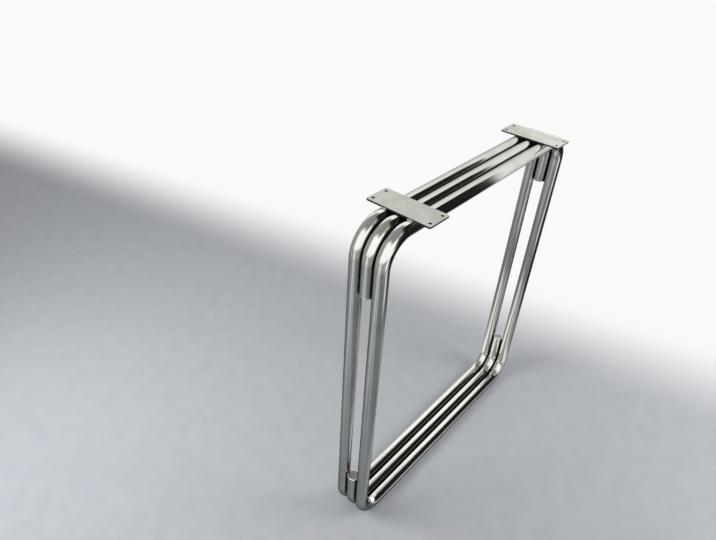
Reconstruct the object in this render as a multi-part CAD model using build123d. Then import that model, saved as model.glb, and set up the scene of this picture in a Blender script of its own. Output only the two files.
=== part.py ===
"""Table leg: three polished steel tubes side by side in an upright frame, with two fixing plates on top.

The two outer tubes are closed loops. Between them lie two middle tubes, one along the top and one along the
bottom, whose ends are bent to follow the uprights for a short way and are closed by flat caps.

Millimetres. X runs from the front upright to the rear one, Y across the three tubes and Z up. The origin is
on the floor, under the middle of the leg.
"""

import os

from build123d import *

# Overall sizes of the leg
leg_height = 720.0  # floor to the top of the fixing plates
leg_width = 616.0  # across the outsides of the two uprights

# The tube that every bent piece is made from
tube_diameter = 25.0
tube_wall = 1.5
bend_radius = 52.0  # to the tube's centre line
weld_gap = 0.2  # root gap between the tubes, and between the tubes and the plates

# The turned ends of the middle tubes
stub_length = 57.0  # straight run from the end of the bend to the cap

# Caps that close the middle tubes
cap_thickness = 2.5
cap_rim_radius = 1.6
cap_edge_flat = 0.4  # straight part of the cap's edge, beside the tube's end
spigot_length = 8.0
spigot_clearance = 0.1  # between the spigot and the tube's bore
spigot_lead = 0.8  # chamfer that guides the spigot into the bore

# Fixing plates
plate_length = 125.0  # across the tubes
plate_width = 52.0  # along the tubes
plate_thickness = 3.0
plate_corner_radius = 4.0
plate_edge_radius = 0.4
plate_to_bend = 6.0  # from the plate's outer edge to the start of the bend
hole_diameter = 5.5
hole_inset_along = 10.0  # from the plate's long edges to the hole centres
hole_inset_across = 7.5  # from the plate's short edges to the hole centres

# Weld beads that hold the plates on the outer tubes
bead_radius = 2.4
bead_length = 10.0

# Places worked out from the sizes above
tube_radius = tube_diameter / 2
bore_radius = tube_radius - tube_wall
tube_pitch = tube_diameter + weld_gap
plate_base = leg_height - plate_thickness
crown_height = plate_base - weld_gap
upright_x = leg_width / 2 - tube_radius
top_bar_z = crown_height - tube_radius
bottom_bar_z = tube_radius
bend_start_x = upright_x - bend_radius
plate_edge_x = bend_start_x - plate_to_bend
plate_x = plate_edge_x - plate_width / 2
bottom_stub_end_z = bottom_bar_z + bend_radius + stub_length
top_stub_end_z = top_bar_z - bend_radius - stub_length
front_and_rear = {"front": -1, "rear": 1}
left_and_right = {"left": 1, "right": -1}


def bent_tube(path):
    """Sweeps the tube's ring section along a path of straight runs and tangent arcs."""
    section_plane = Plane(origin=path @ 0, z_dir=path % 0)
    ring = section_plane * (Circle(tube_radius) - Circle(bore_radius))
    return sweep(ring, path=path)


def outer_loop(side):
    """Closed loop on one side of the middle tubes."""
    y = side * tube_pitch
    corners = [
        (-upright_x, y, bottom_bar_z),
        (upright_x, y, bottom_bar_z),
        (upright_x, y, top_bar_z),
        (-upright_x, y, top_bar_z),
    ]
    return bent_tube(FilletPolyline(*corners, radius=bend_radius, close=True))


def middle_tube(bar_z, stub_end_z):
    """Bar between the loops, with both ends turned along the uprights."""
    corners = [
        (-upright_x, 0, stub_end_z),
        (-upright_x, 0, bar_z),
        (upright_x, 0, bar_z),
        (upright_x, 0, stub_end_z),
    ]
    return bent_tube(FilletPolyline(*corners, radius=bend_radius))


def end_cap():
    """Turned cap on Z, with its seat on the tube's end at the origin and its head above."""
    rim = min(cap_rim_radius, cap_thickness - cap_edge_flat)
    spigot_radius = bore_radius - spigot_clearance
    with BuildSketch(Plane.XZ) as half:
        with BuildLine():
            Polyline(
                (0, cap_thickness),
                (0, -spigot_length),
                (spigot_radius - spigot_lead, -spigot_length),
                (spigot_radius, -spigot_length + spigot_lead),
                (spigot_radius, 0),
                (tube_radius, 0),
                (tube_radius, cap_thickness - rim),
            )
            RadiusArc((tube_radius, cap_thickness - rim), (tube_radius - rim, cap_thickness), -rim)
            Line((tube_radius - rim, cap_thickness), (0, cap_thickness))
        make_face()
    return revolve(half.sketch, axis=Axis.Z)


def fixing_plate():
    """Flat plate with four screw holes, with the middle of its underside at the origin."""
    outline = RectangleRounded(plate_width, plate_length, plate_corner_radius)
    hole_spacing_along = plate_width - 2 * hole_inset_along
    hole_spacing_across = plate_length - 2 * hole_inset_across
    holes = GridLocations(hole_spacing_along, hole_spacing_across, 2, 2) * Circle(hole_diameter / 2)
    plate = extrude(outline - holes, plate_thickness)
    rims = plate.faces().sort_by(Axis.Z)[-1].outer_wire().edges()
    return fillet(rims, plate_edge_radius)


def weld_bead():
    """Half-round bead on a tube along X, beyond a plate edge whose lower corner is at the origin."""
    straight = bead_length - 2 * bead_radius
    with BuildSketch(Plane.YZ) as half:
        with BuildLine():
            Line((-bead_length / 2, 0), (bead_length / 2, 0))
            RadiusArc((bead_length / 2, 0), (straight / 2, bead_radius), -bead_radius)
            Line((straight / 2, bead_radius), (-straight / 2, bead_radius))
            RadiusArc((-straight / 2, bead_radius), (-bead_length / 2, 0), -bead_radius)
        make_face()
    bead = revolve(half.sketch, axis=Axis.Y, revolution_arc=180)
    tube_below = Pos(0, 0, -weld_gap - tube_radius) * Rot(0, 90, 0) * Cylinder(tube_radius, 4 * bead_radius)
    return bead - tube_below


def table_leg():
    """Every piece of the leg in its place, by name."""
    pieces = {}
    for name, side in left_and_right.items():
        pieces[f"{name}_loop"] = outer_loop(side)
    pieces["top_middle_tube"] = middle_tube(top_bar_z, top_stub_end_z)
    pieces["bottom_middle_tube"] = middle_tube(bottom_bar_z, bottom_stub_end_z)
    beads = []
    for name, end in front_and_rear.items():
        pieces[f"{name}_top_cap"] = Pos(end * upright_x, 0, top_stub_end_z) * Rot(180, 0, 0) * end_cap()
        pieces[f"{name}_bottom_cap"] = Pos(end * upright_x, 0, bottom_stub_end_z) * end_cap()
        pieces[f"{name}_plate"] = Pos(end * plate_x, 0, plate_base) * fixing_plate()
        facing = Rot(0, 0, 0 if end > 0 else 180)
        for side in left_and_right.values():
            beads.append(Pos(end * plate_edge_x, side * tube_pitch, plate_base) * facing * weld_bead())
    pieces["plate_welds"] = Compound(beads)
    return pieces


os.makedirs("parts", exist_ok=True)
for node, piece in table_leg().items():
    export_step(piece, f"parts/{node}.step")
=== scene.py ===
"""Table leg of three polished steel tubes, dressed over its CAD model and lit as a studio still.

Lengths are metres in the frame of the CAD model: X runs from the front upright to the rear one, Y across the three
tubes and Z up, with the origin on the floor under the middle of the leg.
"""

import logging
import math
from dataclasses import dataclass, field
from enum import Enum
from typing import Any, Callable, Iterable, Sequence

import bpy
from bpy.types import Material, Mesh, MeshEdge, Node, NodeSocket, NodeTree, Object, Scene
from mathutils import Matrix, Vector


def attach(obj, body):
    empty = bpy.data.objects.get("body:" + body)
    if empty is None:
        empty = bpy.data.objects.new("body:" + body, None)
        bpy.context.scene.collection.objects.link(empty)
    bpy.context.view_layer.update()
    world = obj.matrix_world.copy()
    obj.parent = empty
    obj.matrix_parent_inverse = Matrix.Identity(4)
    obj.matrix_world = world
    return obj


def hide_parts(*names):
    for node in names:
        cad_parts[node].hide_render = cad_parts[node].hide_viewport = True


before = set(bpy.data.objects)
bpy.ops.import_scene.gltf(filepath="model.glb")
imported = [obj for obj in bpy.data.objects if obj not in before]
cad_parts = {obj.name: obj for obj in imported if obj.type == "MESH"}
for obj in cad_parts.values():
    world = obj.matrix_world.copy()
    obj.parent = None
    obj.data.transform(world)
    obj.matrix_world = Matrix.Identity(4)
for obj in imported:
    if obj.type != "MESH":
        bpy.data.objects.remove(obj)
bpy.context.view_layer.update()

MM = 0.001
BODY = "root"
MERGE_DISTANCE = 0.001 * MM
PLACE_TOLERANCE = 0.02 * MM
TURN_TOLERANCE = 1e-4  # radians
SMOOTH_ANGLE = math.radians(32)
FLAT = 0.99  # a face whose normal's Z is beyond this lies flat
MIX_SHARE, MIX_FIRST, MIX_SECOND = 0, 6, 7  # the Mix node's inputs when it mixes colours
ElementTest = Callable[[Any, Mesh], bool]  # takes a vertex, edge or face and its mesh, and chooses it or not
log = logging.getLogger("table_leg")


@dataclass(frozen=True)
class LegSizes:
    """Sizes that several pieces of the leg share, and the places that follow from them."""

    height: float = 720.0 * MM
    width: float = 616.0 * MM
    tube_radius: float = 12.5 * MM
    tube_wall: float = 1.5 * MM
    bend_radius: float = 52.0 * MM
    root_gap: float = 0.2 * MM  # between two tubes, and between the tubes and the plates
    stub_length: float = 57.0 * MM
    cap_thickness: float = 2.5 * MM
    plate_thickness: float = 3.0 * MM
    plate_to_bend: float = 6.0 * MM

    @property
    def bore_radius(self) -> float:
        """Radius of the tubes' bores."""
        return self.tube_radius - self.tube_wall

    @property
    def pitch(self) -> float:
        """Distance between the middles of two tubes that lie side by side."""
        return 2 * self.tube_radius + self.root_gap

    @property
    def upright_x(self) -> float:
        """Distance of the uprights from the middle of the leg."""
        return self.width / 2 - self.tube_radius

    @property
    def plate_base(self) -> float:
        """Height of the plates' undersides."""
        return self.height - self.plate_thickness

    @property
    def top_z(self) -> float:
        """Height of the top bars' middles."""
        return self.plate_base - self.root_gap - self.tube_radius

    @property
    def top_seat(self) -> float:
        """Height of the ends of the top middle tube."""
        return self.top_z - self.bend_radius - self.stub_length

    @property
    def bottom_seat(self) -> float:
        """Height of the ends of the bottom middle tube."""
        return self.tube_radius + self.bend_radius + self.stub_length

    @property
    def plate_edge_x(self) -> float:
        """Distance of the plates' outer edges from the middle of the leg."""
        return self.upright_x - self.bend_radius - self.plate_to_bend


LEG = LegSizes()


def srgb(code: str) -> tuple[float, float, float, float]:
    """Turns an sRGB hex colour into the linear values that Blender's sockets hold.

    Args:
        code: Six hex digits, with or without a leading #.

    Returns:
        Linear red, green and blue, and an alpha of 1.
    """
    parts = [int(code.lstrip("#")[i:i + 2], 16) / 255 for i in (0, 2, 4)]
    red, green, blue = (v / 12.92 if v <= 0.04045 else ((v + 0.055) / 1.055) ** 2.4 for v in parts)
    return red, green, blue, 1.0


def add_node(tree: NodeTree, kind: str, inputs: dict[Any, Any] | None = None, **settings: Any) -> Any:
    """Adds a node to a tree with its settings, values and links.

    Args:
        tree: Node tree that takes the node.
        kind: Blender's type name of the node, without the ShaderNode before it.
        inputs: For each input, by name or number, a value, an output socket to link, or a node whose first output
            in use is linked.
        settings: Properties of the node itself.

    Returns:
        The new node.
    """
    node = tree.nodes.new(f"ShaderNode{kind}")
    for name, value in settings.items():
        setattr(node, name, value)
    for key, value in (inputs or {}).items():
        if isinstance(value, Node):
            value = next(output for output in value.outputs if output.enabled)
        if isinstance(value, NodeSocket):
            tree.links.new(value, node.inputs[key])
        else:
            node.inputs[key].default_value = value
    return node


def tone_between(tree: NodeTree, value: Any, span: tuple[float, float], first: Any, second: Any) -> Any:
    """Goes from one colour to another as a value rises.

    Args:
        tree: Node tree that takes the nodes.
        value: Node or output socket for the value.
        span: The value at which the first colour begins to give way, and the one at which it is gone.
        first: Colour, or node for it, below the span.
        second: Colour, or node for it, above the span.

    Returns:
        Node for the colour.
    """
    share = add_node(tree, "MapRange", {"Value": value, "From Min": span[0], "From Max": span[1]})
    return add_node(tree, "Mix", {MIX_SHARE: share, MIX_FIRST: first, MIX_SECOND: second}, data_type="RGBA")


def new_material(name: str) -> Material:
    """Makes a material whose node tree is still empty."""
    material = bpy.data.materials.new(name)
    material.use_nodes = True
    material.node_tree.nodes.clear()
    return material


def as_steel(material: Material, sockets: dict[str, Any]) -> Material:
    """Gives a material its metal shader, once its patterns are drawn.

    Args:
        material: Material to finish.
        sockets: A value or a node for each of the shader's own sockets, by name.

    Returns:
        The same material.
    """
    tree = material.node_tree
    shader = add_node(tree, "BsdfPrincipled", {"Metallic": 1.0, **sockets})
    add_node(tree, "OutputMaterial", {"Surface": shader})
    return material


def deselect_all() -> None:
    """Leaves edit mode and clears the selection, so that the next operator meets only new work."""
    if bpy.context.object and bpy.context.object.mode != "OBJECT":
        bpy.ops.object.mode_set(mode="OBJECT")
    bpy.ops.object.select_all(action="DESELECT")


def activate(piece: Object) -> None:
    """Makes one object the only selected and the active one.

    Args:
        piece: Object to work on next.
    """
    deselect_all()
    piece.select_set(True)
    bpy.context.view_layer.objects.active = piece


def adopt_primitive(name: str) -> Object:
    """Names the primitive that was just added and puts its place into its mesh.

    Args:
        name: Name for the object and its mesh.

    Returns:
        The object, at the origin, unturned and unscaled.
    """
    piece = bpy.context.object
    piece.name = name
    piece.data.name = name
    bpy.ops.object.transform_apply(location=True, rotation=True, scale=True)
    return piece


def select_where(piece: Object, domain: str, test: ElementTest) -> None:
    """Selects, in edit mode, the vertices, edges or faces that pass a test.

    Args:
        piece: Object in edit mode.
        domain: VERT, EDGE or FACE.
        test: Says whether an element is selected.
    """
    bpy.ops.mesh.select_mode(type=domain)
    bpy.ops.mesh.select_all(action="DESELECT")
    bpy.ops.object.mode_set(mode="OBJECT")
    mesh = piece.data
    elements = {"VERT": mesh.vertices, "EDGE": mesh.edges, "FACE": mesh.polygons}[domain]
    for element in elements:
        element.select = bool(test(element, mesh))
    bpy.ops.object.mode_set(mode="EDIT")


def at_height(z: float) -> ElementTest:
    """Makes the test for edges that lie level at one height."""
    return lambda edge, mesh: all(abs(mesh.vertices[i].co.z - z) < PLACE_TOLERANCE for i in edge.vertices)


def bevel_where(piece: Object, width: float, steps: int, test: ElementTest) -> None:
    """Bevels, in edit mode, the edges that pass a test.

    Args:
        piece: Object in edit mode.
        width: Width of the bevel.
        steps: Number of faces across the bevel.
        test: Says whether an edge is bevelled.
    """
    select_where(piece, "EDGE", test)
    bpy.ops.mesh.bevel(offset=width, offset_type="OFFSET", segments=steps, affect="EDGES", profile=0.5)


def extrude(step: Sequence[float]) -> None:
    """Extrudes, in edit mode, what is selected by one step."""
    bpy.ops.mesh.extrude_region_move(TRANSFORM_OT_translate={"value": step})


def close_up(piece: Object) -> None:
    """Merges doubled points, turns every face outwards and smooths all but the sharp edges.

    Args:
        piece: Object to finish.
    """
    activate(piece)
    bpy.ops.object.mode_set(mode="EDIT")
    bpy.ops.mesh.select_all(action="SELECT")
    bpy.ops.mesh.remove_doubles(threshold=MERGE_DISTANCE)
    bpy.ops.mesh.normals_make_consistent(inside=False)
    bpy.ops.object.mode_set(mode="OBJECT")
    bpy.ops.object.shade_smooth_by_angle(angle=SMOOTH_ANGLE)


def apply_modifier(piece: Object, kind: str, **settings: Any) -> None:
    """Adds a modifier to an object and applies it.

    Args:
        piece: Object to change.
        kind: Blender's type name of the modifier.
        settings: Properties of the modifier.
    """
    activate(piece)
    modifier = piece.modifiers.new(kind.lower(), kind)
    for name, value in settings.items():
        setattr(modifier, name, value)
    bpy.ops.object.modifier_apply(modifier=modifier.name)


def copy_at(pattern: Object, name: str, place: Matrix) -> Object:
    """Copies a finished object, with a mesh of its own that lies in its new place.

    Args:
        pattern: Object that was modelled about the origin.
        name: Name of the copy.
        place: Where the copy goes.

    Returns:
        The copy.
    """
    piece = pattern.copy()
    piece.data = pattern.data.copy()
    piece.name = name
    piece.data.name = name
    piece.data.transform(place)
    bpy.context.collection.objects.link(piece)
    return piece


def store_vectors(piece: Object, name: str, values: Iterable[Vector]) -> None:
    """Keeps a vector for each vertex as an attribute that materials can read.

    Args:
        piece: Object whose mesh takes the attribute.
        name: Name of the attribute.
        values: One vector for each vertex, in order.
    """
    attribute = piece.data.attributes.new(name, "FLOAT_VECTOR", "POINT")
    attribute.data.foreach_set("vector", [number for value in values for number in value])


class Slot(Enum):
    """Material slots of the record."""

    TUBE = "polished_tube"
    CAP = "polished_cap"
    PLATE = "satin_plate"
    WELD = "weld_metal"


def hand_over(piece: Object, nodes: Sequence[str], materials: Sequence[Any]) -> None:
    """Dresses a finished piece and ties it to the CAD model.

    Args:
        piece: The finished piece.
        nodes: CAD nodes that the piece replaces.
        materials: Its materials, in the order of its faces' numbers.
    """
    for material in materials:
        piece.data.materials.append(material)
    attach(piece, BODY)
    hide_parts(*nodes)
    log.info("%s: %d faces", piece.name, len(piece.data.polygons))


@dataclass(frozen=True)
class PolishedSteel:
    """Stainless steel tube, ground and buffed to a mirror.

    The eye gets hard reflections with hardly any colour of their own, a slow wander in the reflected lines where the
    buffing wheel bit a little deeper, faint lines along the tube, the dull film that hands leave, and painted shade in
    the grooves between two tubes.
    """

    name: str = "mirror polished stainless steel"
    light: str = "#CECDC9"
    dark: str = "#C2C1BC"
    edge: str = "#A2A2A0"  # polished steel loses light where it is seen almost edge on
    film_size: float = 70.0 * MM
    film_span: tuple[float, float] = (0.35, 0.7)
    line_spacing: float = 1.2 * MM  # real buffing lines are far finer; drawn this wide to show at all
    line_length: float = 90.0 * MM
    line_share: float = 0.35  # how much the lines count beside the film
    dull_span: tuple[float, float] = (0.45, 0.9)
    roughness: tuple[float, float] = (0.035, 0.085)
    wander_size: float = 45.0 * MM
    wander_depth: float = 0.02 * MM
    painted_groove_shade: str = "#2E2D2A"  # painted shade: a darker colour in the groove between two tubes
    groove_shade_roughness: float = 0.35
    valley_y: float = LEG.pitch / 2
    valley_full: float = 1.0 * MM  # the painted shade is drawn this wide to show
    valley_gone: float = 3.4 * MM
    free_low: float = LEG.bottom_seat + LEG.cap_thickness  # between these heights no tube lies between the uprights
    free_high: float = LEG.top_seat - LEG.cap_thickness
    free_margin: float = 0.5 * MM

    def material(self) -> Material:
        """Builds the material on the straightened tube that BentTube stores, and on Object coordinates.

        Returns:
            The material.
        """
        material = new_material(self.name)
        tree = material.node_tree
        along = add_node(tree, "Attribute", attribute_name=BentTube.attribute).outputs["Vector"]
        squeezed = add_node(tree, "Mapping", {
            "Vector": along, "Scale": (1 / self.line_spacing, 1 / self.line_spacing, 1 / self.line_length)})
        lines = add_node(tree, "TexNoise", {"Vector": squeezed, "Scale": 1.0, "Detail": 2.0, "Roughness": 0.6})
        film = add_node(tree, "TexNoise", {
            "Vector": along, "Scale": 1 / self.film_size, "Detail": 5.0, "Roughness": 0.62, "Distortion": 0.6})
        dull = add_node(tree, "Math", {0: lines, 1: self.line_share, 2: film}, operation="MULTIPLY_ADD")
        roughness = add_node(tree, "MapRange", {
            "Value": dull, "From Min": self.dull_span[0], "From Max": self.dull_span[1],
            "To Min": self.roughness[0], "To Max": self.roughness[1]})
        colour = tone_between(tree, film, self.film_span, srgb(self.light), srgb(self.dark))
        # painted shade: the grooves between the tubes are coloured darker and made rougher
        valley = self._valley(tree)
        colour = add_node(tree, "Mix", {
            MIX_SHARE: valley, MIX_FIRST: colour, MIX_SECOND: srgb(self.painted_groove_shade)}, data_type="RGBA")
        roughness = add_node(tree, "MapRange", {"Value": valley, "To Min": roughness, "To Max": self.groove_shade_roughness})
        wander = add_node(tree, "TexNoise", {
            "Vector": along, "Scale": 1 / self.wander_size, "Detail": 1.0, "Roughness": 0.4})
        bump = add_node(tree, "Bump", {"Height": wander, "Strength": 1.0, "Distance": self.wander_depth})
        return as_steel(material, {
            "Base Color": colour, "Roughness": roughness, "Specular Tint": srgb(self.edge), "Normal": bump})

    def _valley(self, tree: NodeTree) -> Any:
        """Share of painted shade, which is full in the valleys between a middle tube and the loops.

        Args:
            tree: Node tree that takes the nodes.

        Returns:
            Node for the share.
        """
        place = add_node(tree, "TexCoord").outputs["Object"]
        sides = add_node(tree, "SeparateXYZ", {"Vector": place}).outputs
        middle = (self.free_high + self.free_low) / 2
        half = (self.free_high - self.free_low) / 2
        height = add_node(tree, "Math", {0: sides["Z"], 1: middle}, operation="SUBTRACT")
        height = add_node(tree, "Math", {0: height}, operation="ABSOLUTE")
        beside = add_node(tree, "MapRange", {
            "Value": height, "From Min": half - self.free_margin, "From Max": half + self.free_margin})
        across = add_node(tree, "Math", {0: sides["Y"]}, operation="ABSOLUTE")
        across = add_node(tree, "Math", {0: across, 1: self.valley_y}, operation="SUBTRACT")
        across = add_node(tree, "Math", {0: across}, operation="ABSOLUTE")
        return add_node(tree, "MapRange", {
            "Value": across, "From Min": self.valley_gone, "From Max": self.valley_full,
            "To Min": 0.0, "To Max": beside}, interpolation_type="SMOOTHSTEP")


@dataclass(frozen=True)
class TurnedSteel:
    """Cap turned on a lathe and lightly buffed.

    The eye gets a disc painted greyer than the tube, painted shade for the darker reflection it shows, fine rings
    about its middle that spread each highlight into a fan, and a rim painted brighter, a painted highlight.
    """

    name: str = "turned stainless steel"
    # painted shade on the disc, and painted highlight on the rim
    disc: str = "#868683"
    rim: str = "#E0DFDA"
    rim_span: tuple[float, float] = (10.0 * MM, 11.2 * MM)  # from the cap's middle
    disc_roughness: float = 0.17
    wobble_roughness: float = 0.12
    rim_roughness: float = 0.07
    wobble_size: float = 4.0 * MM
    ring_spacing: float = 0.55 * MM  # turning marks are about a tenth of this; drawn wider to show
    ring_depth: float = 0.006 * MM

    def material(self) -> Material:
        """Builds the material about the axis that EndCap stores.

        Returns:
            The material.
        """
        material = new_material(self.name)
        tree = material.node_tree
        place = add_node(tree, "Attribute", attribute_name=EndCap.attribute).outputs["Vector"]
        flat = add_node(tree, "VectorMath", {0: place, 1: (1.0, 1.0, 0.0)}, operation="MULTIPLY")
        radius = add_node(tree, "VectorMath", {0: flat}, operation="LENGTH")
        wobble = add_node(tree, "TexNoise", {
            "Vector": place, "Scale": 1 / self.wobble_size, "Detail": 3.0, "Roughness": 0.6})
        rings = add_node(tree, "Math", {
            0: radius, 1: 2 * math.pi / self.ring_spacing, 2: wobble}, operation="MULTIPLY_ADD")
        rings = add_node(tree, "Math", {0: rings}, operation="SINE")
        # painted shade on the disc, painted highlight on the rim
        colour = tone_between(tree, radius, self.rim_span, srgb(self.disc), srgb(self.rim))
        grey = add_node(tree, "Math", {
            0: wobble, 1: self.wobble_roughness, 2: self.disc_roughness}, operation="MULTIPLY_ADD")
        roughness = add_node(tree, "MapRange", {
            "Value": radius, "From Min": self.rim_span[0], "From Max": self.rim_span[1],
            "To Min": grey, "To Max": self.rim_roughness})
        bump = add_node(tree, "Bump", {"Height": rings, "Strength": 0.6, "Distance": self.ring_depth})
        return as_steel(material, {"Base Color": colour, "Roughness": roughness, "Normal": bump})


@dataclass(frozen=True)
class SatinSteel:
    """Cold rolled stainless sheet with a satin grind along the plate.

    The eye gets a soft even grey with short fine scratches all one way, and slightly warmer handled patches.
    """

    name: str = "satin ground stainless sheet"
    light: str = "#B0B0A9"
    dark: str = "#A0A098"
    tone_span: tuple[float, float] = (0.5, 0.98)
    grain_width: float = 0.5 * MM  # real grind lines are about a tenth of this; drawn wider to show
    grain_length: float = 18.0 * MM
    grain_depth: float = 0.006 * MM
    grain_share: float = 0.5  # how much the grind counts beside the patches
    patch_size: float = 28.0 * MM
    dull_span: tuple[float, float] = (0.5, 1.0)
    roughness: tuple[float, float] = (0.3, 0.42)

    def material(self) -> Material:
        """Builds the material on Object coordinates, with the grind along Y.

        Returns:
            The material.
        """
        material = new_material(self.name)
        tree = material.node_tree
        place = add_node(tree, "TexCoord").outputs["Object"]
        squeezed = add_node(tree, "Mapping", {
            "Vector": place, "Scale": (1 / self.grain_width, 1 / self.grain_length, 1 / self.grain_width)})
        grain = add_node(tree, "TexNoise", {"Vector": squeezed, "Scale": 1.0, "Detail": 4.0, "Roughness": 0.65})
        patch = add_node(tree, "TexNoise", {
            "Vector": place, "Scale": 1 / self.patch_size, "Detail": 4.0, "Roughness": 0.6})
        tone = add_node(tree, "Math", {0: grain, 1: self.grain_share, 2: patch}, operation="MULTIPLY_ADD")
        roughness = add_node(tree, "MapRange", {
            "Value": tone, "From Min": self.dull_span[0], "From Max": self.dull_span[1],
            "To Min": self.roughness[0], "To Max": self.roughness[1]})
        bump = add_node(tree, "Bump", {"Height": grain, "Strength": 0.5, "Distance": self.grain_depth})
        return as_steel(material, {
            "Base Color": tone_between(tree, tone, self.tone_span, srgb(self.light), srgb(self.dark)),
            "Roughness": roughness, "Normal": bump})


@dataclass(frozen=True)
class CutEdge:
    """Laser cut edge of the sheet.

    The eye gets a duller, darker line than the plate's face, partly the cut edge's own duller tone and partly painted
    shade on the shaded edges and hole walls, with fine upright drag lines from the beam.
    """

    name: str = "laser cut stainless edge"
    # dark partly as a cut edge is, and partly as painted shade on the plate's edges and the walls of its holes
    light: str = "#4A4A46"
    dark: str = "#2A2A28"
    tone_span: tuple[float, float] = (0.3, 0.7)
    roughness: tuple[float, float] = (0.35, 0.6)
    drag_width: float = 0.35 * MM
    drag_height: float = 2.5 * MM
    drag_depth: float = 0.02 * MM

    def material(self) -> Material:
        """Builds the material on Object coordinates, with the drag lines along Z.

        Returns:
            The material.
        """
        material = new_material(self.name)
        tree = material.node_tree
        place = add_node(tree, "TexCoord").outputs["Object"]
        squeezed = add_node(tree, "Mapping", {
            "Vector": place, "Scale": (1 / self.drag_width, 1 / self.drag_width, 1 / self.drag_height)})
        drag = add_node(tree, "TexNoise", {"Vector": squeezed, "Scale": 1.0, "Detail": 3.0})
        roughness = add_node(tree, "MapRange", {
            "Value": drag, "To Min": self.roughness[0], "To Max": self.roughness[1]})
        bump = add_node(tree, "Bump", {"Height": drag, "Strength": 0.7, "Distance": self.drag_depth})
        return as_steel(material, {
            "Base Color": tone_between(tree, drag, self.tone_span, srgb(self.dark), srgb(self.light)),
            "Roughness": roughness, "Normal": bump})


@dataclass(frozen=True)
class WeldMetal:
    """Bead of weld metal, wire brushed after it cooled.

    The eye gets bright ripples with straw and grey blue tints in patches, where heat coloured the steel.
    """

    name: str = "brushed stainless weld"
    bright: str = "#C9C6BD"
    straw: str = "#A79F88"
    blue: str = "#747983"
    straw_span: tuple[float, float] = (0.42, 0.6)
    blue_span: tuple[float, float] = (0.6, 0.74)
    roughness: tuple[float, float] = (0.2, 0.42)
    tint_size: float = 2.2 * MM
    grain_size: float = 0.3 * MM
    grain_depth: float = 0.02 * MM

    def material(self) -> Material:
        """Builds the material on Object coordinates.

        Returns:
            The material.
        """
        material = new_material(self.name)
        tree = material.node_tree
        place = add_node(tree, "TexCoord").outputs["Object"]
        tint = add_node(tree, "TexNoise", {
            "Vector": place, "Scale": 1 / self.tint_size, "Detail": 3.0, "Roughness": 0.6})
        grain = add_node(tree, "TexNoise", {"Vector": place, "Scale": 1 / self.grain_size, "Detail": 2.0})
        colour = tone_between(tree, tint, self.straw_span, srgb(self.bright), srgb(self.straw))
        colour = tone_between(tree, tint, self.blue_span, colour, srgb(self.blue))
        roughness = add_node(tree, "MapRange", {
            "Value": grain, "To Min": self.roughness[0], "To Max": self.roughness[1]})
        bump = add_node(tree, "Bump", {"Height": grain, "Strength": 0.5, "Distance": self.grain_depth})
        return as_steel(material, {"Base Color": colour, "Roughness": roughness, "Normal": bump})


class Axis(Enum):
    """Axes of the frame, by their number."""

    X = 0
    Y = 1
    Z = 2


@dataclass(frozen=True)
class Card:
    """A light or dark card that stands about the studio, or painted light or shade that lies on the floor, where only
    the steel mirrors it.

    A bound is an axis with two places along it: where the card begins, and where it is full. On the floor they are
    metres from the origin. Round the leg they are parts of a unit step away from it.
    """

    name: str
    level: float
    bounds: tuple[tuple[Axis, float, float], ...] = ()
    tint: str = "#FFFFFF"

    def colour(self) -> tuple[float, float, float, float]:
        """Linear colour of the card."""
        red, green, blue, alpha = srgb(self.tint)
        return self.level * red, self.level * green, self.level * blue, alpha


def lay_cards(tree: NodeTree, sides: Sequence[Any], ground: Card, cards: Iterable[Card]) -> Any:
    """Lays cards over an even ground, each over the ones before it.

    Args:
        tree: Node tree that takes the nodes.
        sides: Output sockets for X, Y and Z of the place or direction.
        ground: What shows where no card lies.
        cards: The cards, from the lowest to the top one.

    Returns:
        Node for the colour.
    """
    colour: Any = ground.colour()
    for card in cards:
        share: Any = 1.0
        for axis, begin, full in card.bounds:
            share = add_node(tree, "MapRange", {
                "Value": sides[axis.value], "From Min": begin, "From Max": full, "To Min": 0.0, "To Max": share},
                interpolation_type="SMOOTHSTEP")
        colour = add_node(tree, "Mix", {
            MIX_SHARE: share, MIX_FIRST: colour, MIX_SECOND: card.colour()}, data_type="RGBA", label=card.name)
    return colour


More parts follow.
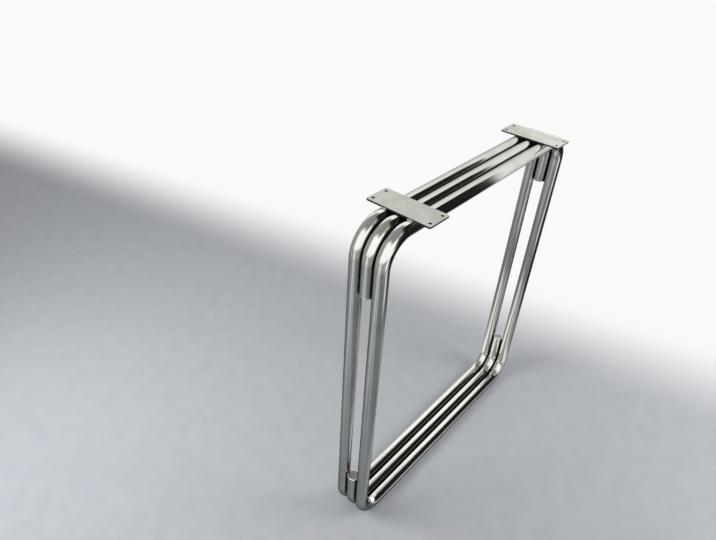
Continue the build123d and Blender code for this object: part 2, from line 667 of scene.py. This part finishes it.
@dataclass(frozen=True)
class PaleFloor:
    """Plain matt floor that fades out well away from the leg.

    The steel mirrors it darker, with painted light and shade laid on it as cards that only reflections show, so that
    the uprights get bright and dark lines as well.
    """

    name: str = "pale matt floor"
    light: str = "#BBBEC3"
    dark: str = "#B6B9BF"
    mottle_size: float = 40.0 * MM
    mottle_span: tuple[float, float] = (0.3, 0.7)
    behind: tuple[float, float, float] = (0.972, 0.233, 0.0)  # the way in which the floor is soonest gone
    behind_from: float = 0.36
    behind_to: float = 0.75
    solid_to: float = 2.3
    gone_at: float = 3.5
    mirrored: Card = Card("shaded floor", 0.34, tint="#E8F3FB")
    mirrored_solid_to: float = 0.8
    mirrored_gone_at: float = 2.0
    # painted light and shade on the floor's colour, which only reflections show: pools of light, shade beside the leg
    # and black patches
    cards: tuple[Card, ...] = (
        Card("white before the leg", 1.0, (
            (Axis.X, -0.1, -1.5), (Axis.Y, -0.5, -0.12), (Axis.Y, 0.5, 0.2)), "#EEF6FD"),
        Card("white under the leg", 1.15, (
            (Axis.X, -0.36, -0.14), (Axis.X, 0.42, 0.28), (Axis.Y, -0.28, -0.04), (Axis.Y, 0.36, 0.1)), "#FFFDF8"),
        Card("bright line under the leg", 2.0, (
            (Axis.X, -0.3, -0.1), (Axis.X, 0.4, 0.24), (Axis.Y, -0.16, -0.05), (Axis.Y, 0.16, 0.06)), "#FFFDF8"),
        Card("shade beside the leg", 0.42, ((Axis.Y, -0.1, -0.075), (Axis.Y, 0.06, 0.04)), "#E8F3FB"),
        Card("white behind the leg", 1.6, ((Axis.X, 0.45, 0.7), (Axis.Y, -0.3, -0.1))),
        Card("grey at the right", 0.55, (
            (Axis.X, -0.06, 0.08), (Axis.X, 0.34, 0.22), (Axis.Y, -0.12, -0.2), (Axis.Y, -0.5, -0.42))),
        Card("white strip at the right", 1.05, (
            (Axis.X, -0.3, -0.12), (Axis.X, 0.2, 0.08), (Axis.Y, -0.64, -0.78))),
        Card("white far to the right", 1.0, ((Axis.X, 0.48, 0.36), (Axis.Y, -1.3, -1.6))),
        Card("black at the right", 0.02, ((Axis.X, 0.22, 0.36), (Axis.Y, -0.25, -0.4))),
    )

    def material(self) -> Material:
        """Builds the material on Object coordinates.

        Returns:
            The material.
        """
        material = new_material(self.name)
        tree = material.node_tree
        place = add_node(tree, "TexCoord").outputs["Object"]
        mottle = add_node(tree, "TexNoise", {"Vector": place, "Scale": 1 / self.mottle_size, "Detail": 3.0})
        sides = add_node(tree, "SeparateXYZ", {"Vector": place}).outputs
        glossy = add_node(tree, "LightPath").outputs["Is Glossy Ray"]
        # for reflections the floor's colour carries the painted light and shade of its cards
        colour = add_node(tree, "Mix", {
            MIX_SHARE: glossy,
            MIX_FIRST: tone_between(tree, mottle, self.mottle_span, srgb(self.light), srgb(self.dark)),
            MIX_SECOND: lay_cards(tree, sides, self.mirrored, self.cards)}, data_type="RGBA")
        away = add_node(tree, "VectorMath", {0: place}, operation="LENGTH")
        start = add_node(tree, "MapRange", {
            "Value": glossy, "To Min": self.solid_to, "To Max": self.mirrored_solid_to})
        end = add_node(tree, "MapRange", {"Value": glossy, "To Min": self.gone_at, "To Max": self.mirrored_gone_at})
        far = add_node(tree, "MapRange", {
            "Value": away, "From Min": start, "From Max": end}, interpolation_type="SMOOTHSTEP")
        back = add_node(tree, "VectorMath", {0: place, 1: self.behind}, operation="DOT_PRODUCT")
        back = add_node(tree, "MapRange", {
            "Value": back, "From Min": self.behind_from, "From Max": self.behind_to}, interpolation_type="SMOOTHSTEP")
        fade = add_node(tree, "Math", {0: far, 1: back}, operation="MAXIMUM")
        matt = add_node(tree, "BsdfDiffuse", {"Color": colour})
        clear = add_node(tree, "BsdfTransparent")
        both = add_node(tree, "MixShader", {"Fac": fade, 1: matt, 2: clear})
        add_node(tree, "OutputMaterial", {"Surface": both})
        return material


class Step(Enum):
    """Kinds of step along a bent tube."""

    RUN = "straight run"
    BEND = "bend"


@dataclass(frozen=True)
class Move:
    """One step along a bent tube.

    size is the length of a run, or the angle of a bend, which is positive where the tube turns from X towards Z.
    """

    step: Step
    size: float


@dataclass(frozen=True)
class TubeStock:
    """The round tube that every bent piece is made from."""

    radius: float = LEG.tube_radius
    bore_radius: float = LEG.bore_radius
    bend_radius: float = LEG.bend_radius
    ring_points: int = 96
    bend_steps: int = 44
    guard: float = 2.0 * MM  # short faces beside each bend, so that its shading doesn't run on along the straight
    end_chamfer: float = 0.2 * MM
    end_depth: float = 9.0 * MM


@dataclass
class BentTube:
    """A tube bent in one upright plane."""

    name: str
    stock: TubeStock
    y: float
    start: tuple[float, float]
    heading: float
    moves: list[Move]
    closed: bool
    attribute = "straightened_tube"

    def build(self) -> Object:
        """Draws a ring along the tube's line, by extruding the runs and spinning the bends.

        Returns:
            The finished tube.
        """
        deselect_all()
        spot, heading = self._first_spot(), self.heading
        bpy.ops.mesh.primitive_circle_add(
            vertices=self.stock.ring_points, radius=self.stock.radius, fill_type="NOTHING",
            location=spot, rotation=(0.0, math.pi / 2 - heading, 0.0))
        tube = adopt_primitive(self.name)
        bpy.ops.object.mode_set(mode="EDIT")
        bpy.ops.mesh.select_all(action="SELECT")
        for move in self.moves:
            draw = self._run if move.step is Step.RUN else self._bend
            spot, heading = draw(spot, heading, move.size)
        bpy.ops.object.mode_set(mode="OBJECT")
        if not self.closed:
            self._close_end(tube, self._first_spot(), -self._along(self.heading))
            self._close_end(tube, spot, self._along(heading))
        close_up(tube)
        store_vectors(tube, self.attribute, [self._straighten(v.co) for v in tube.data.vertices])
        return tube

    def _first_spot(self) -> Vector:
        """Where the tube's middle line begins."""
        return Vector((self.start[0], self.y, self.start[1]))

    @staticmethod
    def _along(heading: float) -> Vector:
        """Unit vector of a heading in the tube's plane."""
        return Vector((math.cos(heading), 0.0, math.sin(heading)))

    def _run(self, spot: Vector, heading: float, length: float) -> tuple[Vector, float]:
        """Extrudes the selected ring along a straight run.

        Args:
            spot: Middle of the ring.
            heading: Direction of the run.
            length: Length of the run.

        Returns:
            The middle of the last ring and its heading.
        """
        along = self._along(heading)
        for part in (self.stock.guard, length - 2 * self.stock.guard, self.stock.guard):
            extrude(along * part)
        return spot + along * length, heading

    def _bend(self, spot: Vector, heading: float, angle: float) -> tuple[Vector, float]:
        """Spins the selected ring round a bend.

        Args:
            spot: Middle of the ring.
            heading: Direction in which the bend starts.
            angle: Angle of the bend.

        Returns:
            The middle of the last ring and its heading.
        """
        side = math.copysign(1.0, angle)
        centre = spot + self._along(heading + side * math.pi / 2) * self.stock.bend_radius
        bpy.ops.mesh.spin(
            steps=self.stock.bend_steps, angle=angle, center=centre, axis=(0.0, 1.0, 0.0), use_auto_merge=False)
        end = centre + self._along(heading + angle - side * math.pi / 2) * self.stock.bend_radius
        return end, heading + angle

    def _close_end(self, tube: Object, spot: Vector, outwards: Vector) -> None:
        """Gives an open end its chamfer, its wall and a plug down the bore.

        Args:
            tube: The tube.
            spot: Middle of the end ring.
            outwards: Direction out of the tube there.
        """
        stock = self.stock
        activate(tube)
        bpy.ops.object.mode_set(mode="EDIT")
        reach = stock.radius + PLACE_TOLERANCE
        select_where(tube, "VERT", lambda v, _: abs((v.co - spot).dot(outwards)) < PLACE_TOLERANCE
                     and (v.co - spot).length < reach)
        face_radius = stock.radius - stock.end_chamfer
        bpy.ops.transform.translate(value=outwards * -stock.end_chamfer)
        extrude(outwards * stock.end_chamfer)
        bpy.ops.transform.resize(value=(face_radius / stock.radius,) * 3, center_override=spot)
        extrude((0.0, 0.0, 0.0))
        bpy.ops.transform.resize(value=(stock.bore_radius / face_radius,) * 3, center_override=spot)
        extrude(outwards * -stock.end_depth)
        bpy.ops.mesh.edge_face_add()
        bpy.ops.object.mode_set(mode="OBJECT")

    def _straighten(self, point: Vector) -> Vector:
        """Where a point of the tube would lie if the tube were straight.

        Args:
            point: A point of the tube.

        Returns:
            Two offsets from the tube's middle line and the length along it.
        """
        spot, heading, length = self._first_spot(), self.heading, 0.0
        bend_radius = self.stock.bend_radius
        reach = self.stock.radius + PLACE_TOLERANCE
        for move in self.moves:
            along = self._along(heading)
            aside = self._along(heading + math.pi / 2)
            if move.step is Step.RUN:
                ahead = (point - spot).dot(along)
                offset = (point - spot).dot(aside)
                if -PLACE_TOLERANCE <= ahead <= move.size + PLACE_TOLERANCE and abs(offset) <= reach:
                    return Vector((offset, point.y - self.y, length + ahead))
                spot, length = spot + along * move.size, length + move.size
            else:
                angle, side = abs(move.size), math.copysign(1.0, move.size)
                centre = spot + aside * side * bend_radius
                arm = point - centre
                turned = math.atan2(arm.dot(along), -side * arm.dot(aside))
                span = math.hypot(arm.x, arm.z)
                if -TURN_TOLERANCE <= turned <= angle + TURN_TOLERANCE and abs(span - bend_radius) <= reach:
                    return Vector((side * (bend_radius - span), point.y - self.y, length + turned * bend_radius))
                heading += move.size
                spot = centre - self._along(heading + side * math.pi / 2) * bend_radius
                length += angle * bend_radius
        return Vector((0.0, point.y - self.y, 0.0))


@dataclass
class TubeFrame:
    """The four bent tubes of the leg."""

    finish: PolishedSteel = field(default_factory=PolishedSteel)
    stock: TubeStock = field(default_factory=TubeStock)
    pitch: float = LEG.pitch
    upright_x: float = LEG.upright_x
    bottom_z: float = LEG.tube_radius
    top_z: float = LEG.top_z
    stub_length: float = LEG.stub_length

    def build(self) -> None:
        """Builds both loops and both middle tubes, and dresses them."""
        steel = self.finish.material()
        for tube in (*self._loops(), *self._middle_tubes()):
            hand_over(tube.build(), [tube.name.removesuffix("_polished")], [steel])

    def _loops(self) -> list[BentTube]:
        """The two closed loops, each begun in the middle of its bottom bar."""
        bend = self.stock.bend_radius
        half_bar = Move(Step.RUN, self.upright_x - bend)
        bar = Move(Step.RUN, 2 * (self.upright_x - bend))
        upright = Move(Step.RUN, self.top_z - self.bottom_z - 2 * bend)
        turn = Move(Step.BEND, math.pi / 2)
        moves = [half_bar, turn, upright, turn, bar, turn, upright, turn, half_bar]
        return [
            BentTube(f"{side}_loop_polished", self.stock, y, (0.0, self.bottom_z), 0.0, moves, True)
            for side, y in (("left", self.pitch), ("right", -self.pitch))]

    def _middle_tubes(self) -> list[BentTube]:
        """The two middle tubes, each begun at the end of its front stub."""
        bend = self.stock.bend_radius
        stub = Move(Step.RUN, self.stub_length)
        bar = Move(Step.RUN, 2 * (self.upright_x - bend))
        tubes = []
        for name, bar_z, turn in (("top", self.top_z, -math.pi / 2), ("bottom", self.bottom_z, math.pi / 2)):
            rise = math.copysign(bend + self.stub_length, turn)
            moves = [stub, Move(Step.BEND, turn), bar, Move(Step.BEND, turn), stub]
            tubes.append(BentTube(
                f"{name}_middle_tube_polished", self.stock, 0.0, (-self.upright_x, bar_z + rise), -turn, moves, False))
        return tubes


@dataclass
class EndCap:
    """The turned caps that close the middle tubes."""

    finish: TurnedSteel = field(default_factory=TurnedSteel)
    radius: float = LEG.tube_radius
    thickness: float = LEG.cap_thickness
    rim_radius: float = 1.6 * MM
    rim_steps: int = 8
    seat_chamfer: float = 0.2 * MM
    spigot_radius: float = LEG.bore_radius - 0.1 * MM  # runs free in the bore
    spigot_length: float = 8.0 * MM
    spigot_lead: float = 0.8 * MM
    points: int = 96
    upright_x: float = LEG.upright_x
    top_seat: float = LEG.top_seat
    bottom_seat: float = LEG.bottom_seat
    attribute = "cap_place"

    def build(self) -> None:
        """Models one cap and puts a copy on each end of the middle tubes."""
        steel = self.finish.material()
        pattern = self._model()
        for end, x in (("front", -self.upright_x), ("rear", self.upright_x)):
            up = Matrix.Translation((x, 0.0, self.bottom_seat))
            down = Matrix.Translation((x, 0.0, self.top_seat)) @ Matrix.Rotation(math.pi, 4, "X")
            for level, place in (("top", down), ("bottom", up)):
                node = f"{end}_{level}_cap"
                hand_over(copy_at(pattern, f"{node}_turned", place), [node], [steel])
        bpy.data.objects.remove(pattern, do_unlink=True)

    def _model(self) -> Object:
        """Models the cap with its seat at the origin and its head above.

        Returns:
            The finished pattern.
        """
        deselect_all()
        bpy.ops.mesh.primitive_circle_add(
            vertices=self.points, radius=self.radius, fill_type="NGON", location=(0.0, 0.0, 0.0))
        cap = adopt_primitive("cap_pattern")
        bpy.ops.object.mode_set(mode="EDIT")
        bpy.ops.mesh.select_all(action="SELECT")
        extrude((0.0, 0.0, self.thickness))
        bevel_where(cap, self.rim_radius, self.rim_steps, at_height(self.thickness))
        bevel_where(cap, self.seat_chamfer, 1, at_height(0.0))
        select_where(cap, "FACE", lambda f, _: abs(f.center.z) < PLACE_TOLERANCE and abs(f.normal.z) > FLAT)
        bpy.ops.mesh.inset(thickness=self.radius - self.seat_chamfer - self.spigot_radius)
        extrude((0.0, 0.0, -self.spigot_length))
        bevel_where(cap, self.spigot_lead, 1, at_height(-self.spigot_length))
        bpy.ops.object.mode_set(mode="OBJECT")
        close_up(cap)
        apply_modifier(cap, "WEIGHTED_NORMAL", keep_sharp=True)
        store_vectors(cap, self.attribute, [v.co for v in cap.data.vertices])
        return cap


@dataclass
class FixingPlate:
    """The two flat plates that the table top is screwed to."""

    face_finish: SatinSteel = field(default_factory=SatinSteel)
    edge_finish: CutEdge = field(default_factory=CutEdge)
    width: float = 52.0 * MM
    length: float = 125.0 * MM
    thickness: float = LEG.plate_thickness
    corner_radius: float = 4.0 * MM
    corner_steps: int = 10
    edge_radius: float = 0.4 * MM
    edge_steps: int = 3
    hole_radius: float = 2.75 * MM
    hole_points: int = 48
    hole_x: float = 16.0 * MM
    hole_y: float = 55.0 * MM
    drill_length: float = 12.0 * MM
    burr: float = 0.12 * MM
    burr_steps: int = 2
    outer_edge_x: float = LEG.plate_edge_x
    base_z: float = LEG.plate_base

    def build(self) -> None:
        """Models one plate and puts a copy at each end of the top bars."""
        materials = [self.face_finish.material(), self.edge_finish.material()]
        pattern = self._model()
        middle = self.outer_edge_x - self.width / 2
        for end, x in (("front", -middle), ("rear", middle)):
            place = Matrix.Translation((x, 0.0, self.base_z))
            hand_over(copy_at(pattern, f"{end}_plate_satin", place), [f"{end}_plate"], materials)
        bpy.data.objects.remove(pattern, do_unlink=True)

    def _model(self) -> Object:
        """Models the plate with the middle of its underside at the origin.

        Returns:
            The finished pattern, whose edges and holes take the second material.
        """
        deselect_all()
        bpy.ops.mesh.primitive_cube_add(
            size=1.0, location=(0.0, 0.0, self.thickness / 2), scale=(self.width, self.length, self.thickness))
        plate = adopt_primitive("plate_pattern")
        bpy.ops.object.mode_set(mode="EDIT")
        bevel_where(plate, self.corner_radius, self.corner_steps, self._stands)
        bevel_where(plate, self.edge_radius, self.edge_steps, at_height(self.thickness))
        bpy.ops.object.mode_set(mode="OBJECT")
        self._drill(plate)
        activate(plate)
        bpy.ops.object.mode_set(mode="EDIT")
        bevel_where(plate, self.burr, self.burr_steps, self._rings_hole)
        bpy.ops.object.mode_set(mode="OBJECT")
        close_up(plate)
        for face in plate.data.polygons:
            face.material_index = int(abs(face.normal.z) < FLAT)
        apply_modifier(plate, "WEIGHTED_NORMAL", keep_sharp=True)
        return plate

    @staticmethod
    def _stands(edge: MeshEdge, mesh: Mesh) -> bool:
        """Says whether an edge stands upright."""
        first, second = (mesh.vertices[i].co for i in edge.vertices)
        return abs(first.z - second.z) > PLACE_TOLERANCE

    def _rings_hole(self, edge: MeshEdge, mesh: Mesh) -> bool:
        """Says whether an edge lies round a hole in the top.

        Args:
            edge: The edge.
            mesh: Its mesh.

        Returns:
            True where both of its ends lie on the hole's rim.
        """
        ends = [mesh.vertices[i].co for i in edge.vertices]
        spans = [math.hypot(abs(p.x) - self.hole_x, abs(p.y) - self.hole_y) for p in ends]
        return at_height(self.thickness)(edge, mesh) and max(spans) < self.hole_radius + PLACE_TOLERANCE

    def _drill(self, plate: Object) -> None:
        """Cuts the four screw holes.

        Args:
            plate: The plate, which loses what the drills pass through.
        """
        deselect_all()
        drills = []
        for x, y in ((-1, -1), (-1, 1), (1, -1), (1, 1)):
            bpy.ops.mesh.primitive_cylinder_add(
                vertices=self.hole_points, radius=self.hole_radius, depth=self.drill_length,
                location=(x * self.hole_x, y * self.hole_y, self.thickness / 2))
            drills.append(adopt_primitive("drill"))
        for drill in drills:
            apply_modifier(plate, "BOOLEAN", object=drill, operation="DIFFERENCE", solver="EXACT")
            bpy.data.objects.remove(drill, do_unlink=True)


@dataclass
class PlateWelds:
    """The weld beads that hold the plates on the outer tubes."""

    finish: WeldMetal = field(default_factory=WeldMetal)
    radius: float = 2.4 * MM
    length: float = 10.0 * MM
    tip: float = 0.06  # share of a half wave that is missing at each end of the bead
    fullness: float = 0.35  # the half wave's power; the lower it is, the fuller the bead's ends
    ripples: int = 6
    ripple_steps: int = 6
    ripple_depth: float = 0.16
    ring_points: int = 40
    edge_x: float = LEG.plate_edge_x
    base_z: float = LEG.plate_base
    pitch: float = LEG.pitch

    def build(self) -> None:
        """Models one rippled bead, copies it to its four places and joins them into one piece."""
        pattern = self._model()
        beads = []
        for end in (-1, 1):
            turn = Matrix.Rotation(0.0 if end > 0 else math.pi, 4, "Z")
            for side in (-1, 1):
                place = Matrix.Translation((end * self.edge_x, side * self.pitch, self.base_z)) @ turn
                beads.append(copy_at(pattern, "plate_welds_rippled", place))
        bpy.data.objects.remove(pattern, do_unlink=True)
        activate(beads[0])
        for bead in beads[1:]:
            bead.select_set(True)
        bpy.ops.object.join()
        welds = bpy.context.object
        welds.name = "plate_welds_rippled"
        hand_over(welds, ["plate_welds"], [self.finish.material()])

    def _model(self) -> Object:
        """Draws a ring along Y, wider on each ripple and narrow at both ends.

        Returns:
            The finished pattern, with the plate's lower edge along its middle.
        """
        deselect_all()
        widths = self._widths()
        step = self.length / (len(widths) - 1)
        bpy.ops.mesh.primitive_circle_add(
            vertices=self.ring_points, radius=self.radius * widths[0], fill_type="NGON",
            location=(0.0, -self.length / 2, 0.0), rotation=(math.pi / 2, 0.0, 0.0))
        bead = adopt_primitive("bead_pattern")
        bpy.ops.object.mode_set(mode="EDIT")
        bpy.ops.mesh.select_all(action="SELECT")
        for number in range(1, len(widths)):
            extrude((0.0, step, 0.0))
            ratio = widths[number] / widths[number - 1]
            middle = (0.0, -self.length / 2 + number * step, 0.0)
            bpy.ops.transform.resize(value=(ratio, 1.0, ratio), center_override=middle)
        bpy.ops.object.mode_set(mode="OBJECT")
        close_up(bead)
        return bead

    def _widths(self) -> list[float]:
        """Share of the bead's radius at each ring along it."""
        count = self.ripples * self.ripple_steps
        widths = []
        for number in range(count + 1):
            along = number / count
            ends = math.sin(math.pi * (self.tip + (1.0 - 2 * self.tip) * along)) ** self.fullness
            ripple = 1.0 - self.ripple_depth * (1.0 - abs(math.sin(math.pi * self.ripples * along)))
            widths.append(ends * ripple)
        return widths


@dataclass(frozen=True)
class Lamp:
    """A softbox."""

    name: str
    place: tuple[float, float, float]
    size: tuple[float, float]
    power: float


@dataclass
class Studio:
    """Floor, light and camera."""

    floor_finish: PaleFloor = field(default_factory=PaleFloor)
    floor_radius: float = 3.6
    floor_points: int = 128
    backdrop: Card = Card("backdrop", 0.95)
    ambient: Card = Card("even light", 0.5)
    surround: Card = Card("white surround", 1.6)
    cards: tuple[Card, ...] = (
        Card("white behind the leg", 1.28, ((Axis.X, 0.6, 0.75),)),
        Card("white straight behind the leg", 2.8, ((Axis.X, 0.87, 0.93),)),
        Card("grey overhead", 0.43, (
            (Axis.X, -0.62, -0.38), (Axis.X, 0.62, 0.38), (Axis.Z, 0.6, 0.78)), "#FAF7EC"),
        Card("grey to the left", 0.5, ((Axis.Y, 0.36, 0.62), (Axis.X, 0.4, 0.2))),
        Card("shade to the right", 0.16, ((Axis.X, 0.0, 0.08), (Axis.Y, -0.7, -0.85), (Axis.Z, -0.1, 0.0))),
        Card("grey low before the leg", 0.5, ((Axis.Z, 0.05, -0.12), (Axis.X, -0.2, -0.4))),
        Card("white low before the leg", 1.2, (
            (Axis.Z, 0.1, 0.0), (Axis.X, -0.6, -0.75), (Axis.Y, -0.3, -0.1), (Axis.Y, 0.3, 0.12))),
        Card("black to the right", 0.02, ((Axis.Y, 0.0, -0.09), (Axis.X, 0.15, 0.4), (Axis.X, 0.812, 0.802))),
        Card("black low to the right", 0.02, (
            (Axis.Y, -0.7, -0.82), (Axis.X, 0.0, 0.15), (Axis.Z, -0.15, -0.25), (Axis.Z, -0.6, -0.5))),
        Card("black far to the right", 0.02, ((Axis.Y, -0.1, -0.22), (Axis.X, 0.2, 0.5), (Axis.X, 0.825, 0.818))),
    )
    lamps: tuple[Lamp, ...] = (
        Lamp("key_softbox", (-1.0, 0.75, 0.95), (0.7, 0.6), 10.0),
        Lamp("fill_softbox", (0.55, -0.95, 0.85), (0.7, 0.6), 6.0),
    )
    lamp_aim: tuple[float, float, float] = (0.0, 0.0, 0.1)
    eye: tuple[float, float, float] = (-0.84965, -0.434146, 1.142351)
    target: tuple[float, float, float] = (-0.00129, 0.26290, 0.36000)
    roll: float = math.radians(3.458)
    lens: float = 28.456  # millimetres, as is the sensor
    sensor: float = 36.0
    near_clip: float = 10.0 * MM

    def build(self) -> None:
        """Builds the stage around the leg and sets the camera."""
        scene = bpy.context.scene
        scene.view_settings.view_transform = "Standard"
        self._floor()
        self._world(scene)
        self._lamps()
        self._camera(scene)

    def _floor(self) -> None:
        """Lays the floor as a wide disc."""
        deselect_all()
        bpy.ops.mesh.primitive_circle_add(vertices=self.floor_points, radius=self.floor_radius, fill_type="NGON")
        floor = adopt_primitive("floor")
        floor.data.materials.append(self.floor_finish.material())

    def _world(self, scene: Scene) -> None:
        """Surrounds the leg with an even light, and gives its steel a white surround and cards to mirror.

        Args:
            scene: Scene that takes the world.
        """
        world = bpy.data.worlds.new("studio")
        world.use_nodes = True
        scene.world = world
        tree = world.node_tree
        tree.nodes.clear()
        way = add_node(tree, "TexCoord").outputs["Generated"]
        sides = add_node(tree, "SeparateXYZ", {"Vector": way}).outputs
        path = add_node(tree, "LightPath").outputs
        mirrored = add_node(tree, "Math", {
            0: path["Is Glossy Ray"], 1: path["Is Transmission Ray"]}, operation="MAXIMUM")
        colour = add_node(tree, "Mix", {
            MIX_SHARE: path["Is Camera Ray"], MIX_FIRST: self.ambient.colour(), MIX_SECOND: self.backdrop.colour()},
            data_type="RGBA")
        colour = add_node(tree, "Mix", {
            MIX_SHARE: mirrored, MIX_FIRST: colour,
            MIX_SECOND: lay_cards(tree, sides, self.surround, self.cards)}, data_type="RGBA")
        light = add_node(tree, "Background", {"Color": colour})
        add_node(tree, "OutputWorld", {"Surface": light})

    def _lamps(self) -> None:
        """Hangs the softboxes, which light the floor; the steel mirrors the surround and the cards instead."""
        for lamp in self.lamps:
            light = bpy.data.lights.new(lamp.name, "AREA")
            light.shape = "RECTANGLE"
            light.size, light.size_y = lamp.size
            light.energy = lamp.power
            softbox = bpy.data.objects.new(lamp.name, light)
            softbox.location = lamp.place
            aim = Vector(self.lamp_aim) - Vector(lamp.place)
            softbox.rotation_euler = aim.to_track_quat("-Z", "Y").to_euler()
            softbox.visible_camera = False
            softbox.visible_glossy = False
            bpy.context.collection.objects.link(softbox)

    def _camera(self, scene: Scene) -> None:
        """Sets the camera where the photograph was taken from.

        Args:
            scene: Scene that takes the camera.
        """
        data = bpy.data.cameras.new("camera")
        data.lens = self.lens
        data.sensor_width = self.sensor
        data.sensor_fit = "HORIZONTAL"
        data.clip_start = self.near_clip
        camera = bpy.data.objects.new("camera", data)
        aim = (Vector(self.target) - Vector(self.eye)).to_track_quat("-Z", "Y").to_matrix()
        camera.matrix_world = Matrix.Translation(self.eye) @ (aim @ Matrix.Rotation(self.roll, 3, "Z")).to_4x4()
        bpy.context.collection.objects.link(camera)
        scene.camera = camera


def main() -> None:
    """Builds the leg piece by piece, then the studio around it."""
    logging.basicConfig(level=logging.INFO, format="%(name)s: %(message)s")
    for group in (TubeFrame(), EndCap(), FixingPlate(), PlateWelds()):
        log.info("building %s", type(group).__name__)
        group.build()
    Studio().build()
    deselect_all()


if __name__ == "__main__":
    main()
